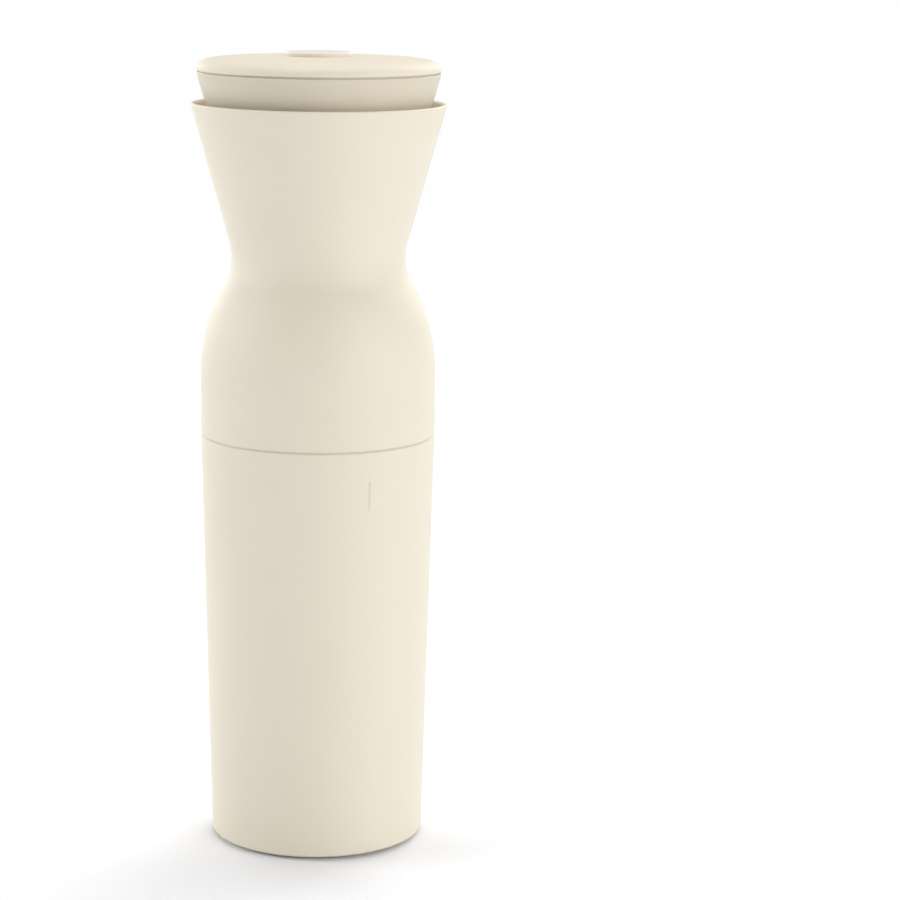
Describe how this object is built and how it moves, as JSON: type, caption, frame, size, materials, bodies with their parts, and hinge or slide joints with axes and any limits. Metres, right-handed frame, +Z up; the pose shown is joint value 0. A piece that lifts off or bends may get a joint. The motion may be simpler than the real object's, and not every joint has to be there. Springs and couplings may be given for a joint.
{
  "type": "cold brew coffee maker",
  "caption": "Hourglass cold brew coffee maker: a brewer with a filter cup, lid and push-button drain valve standing on an insulated carafe.",
  "frame": {"origin": "middle of the foot ring, on the surface that the maker stands on", "axes": "+Z up along the axis of the maker, -Y towards the front, +X to the right seen from the front"},
  "size_m": [0.0932, 0.0932, 0.2945],
  "materials": {
    "cream_coat": "fine matte powder coat, warm cream",
    "cream_plastic": "matte moulded plastic, warm cream",
    "ivory_plastic": "plain moulded plastic, ivory",
    "dark_plastic": "plain moulded plastic, dark grey",
    "steel": "brushed stainless steel",
    "steel_mesh": "fine woven stainless mesh",
    "spring_steel": "drawn spring wire",
    "solder": "soft solder",
    "silicone": "soft matte silicone, warm grey"
  },
  "bodies": {
    "carafe": {"carafe_shell": "cream_coat", "carafe_liner": "steel", "vacuum_plate": "steel", "seal_bead": "solder", "getter_pad": "spring_steel", "base_cover": "cream_coat", "foot_ring": "silicone"},
    "brewer": {"brewer_shell": "cream_plastic", "chamber_floor": "ivory_plastic", "floor_seal": "silicone", "brewer_base": "ivory_plastic", "seam_gasket": "silicone", "mouth_gasket": "silicone", "plug_seal_upper": "silicone", "plug_seal_lower": "silicone", "valve_seat": "silicone", "valve_cage": "ivory_plastic", "valve_spring": "spring_steel"},
    "valve": {"valve_plug": "silicone", "valve_stem": "steel", "push_pad": "dark_plastic"},
    "cup": {"filter_cup": "cream_plastic", "cup_seat_ring": "silicone", "filter_mesh": "steel_mesh", "filter_top_ring": "steel", "filter_frame": "dark_plastic", "filter_base": "dark_plastic", "mesh_disc": "steel_mesh", "rod_tube": "steel", "tube_bush": "dark_plastic"},
    "lid": {"lid_cover": "cream_plastic", "lid_base": "ivory_plastic", "lid_seal": "silicone", "rod_seal": "silicone", "button_spring": "spring_steel"},
    "button": {"push_button": "cream_plastic", "push_rod": "steel", "rod_tip": "silicone"}
  },
  "joints": [
    {"name": "brewer_lift", "type": "slide", "parent": "carafe", "child": "brewer", "axis": [0, 0, 1], "range_m": [0, 0.06]},
    {"name": "cup_lift", "type": "slide", "parent": "brewer", "child": "cup", "axis": [0, 0, 1], "range_m": [0, 0.11]},
    {"name": "lid_lift", "type": "slide", "parent": "cup", "child": "lid", "axis": [0, 0, 1], "range_m": [0, 0.12]},
    {"name": "button_press", "type": "slide", "parent": "lid", "child": "button", "axis": [0, 0, -1], "range_m": [0, 0.004], "stiffness_N_per_m": 600, "springref_m": -0.003, "deforming": ["button_spring"]},
    {"name": "valve_open", "type": "slide", "parent": "brewer", "child": "valve", "axis": [0, 0, -1], "range_m": [0, 0.004], "stiffness_N_per_m": 400, "springref_m": -0.003, "deforming": ["valve_spring"]}
  ],
  "couplings": [
    {"joint": "valve_open", "follows": "button_press", "ratio": 1}
  ]
}
